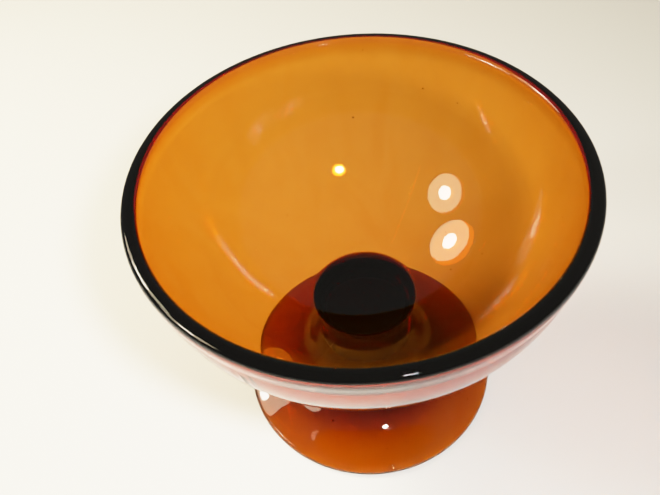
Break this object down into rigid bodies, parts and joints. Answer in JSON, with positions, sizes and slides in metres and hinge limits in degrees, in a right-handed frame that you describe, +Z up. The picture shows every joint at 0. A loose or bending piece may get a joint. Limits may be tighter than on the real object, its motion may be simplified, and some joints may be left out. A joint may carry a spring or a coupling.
{
  "type": "footed glass bowl",
  "caption": "Round deep bowl of clear amber glass with a rounded rim bead, on a short solid stem and a low flared foot.",
  "frame": {"origin": "centre of the ring that the foot rests on, on the table plane", "axes": "+Z up along the bowl's axis of symmetry; X and Y lie in the table plane, and the mould seams lie at about 62 and 242 degrees from +X"},
  "size_m": [0.15, 0.15, 0.122],
  "materials": {
    "amber_glass": "clear deep amber glass, fire-polished and glossy, with fine wear"
  },
  "bodies": {
    "root": {"bowl": "amber_glass", "rim_bead": "amber_glass", "stem": "amber_glass", "foot": "amber_glass"}
  },
  "joints": []
}
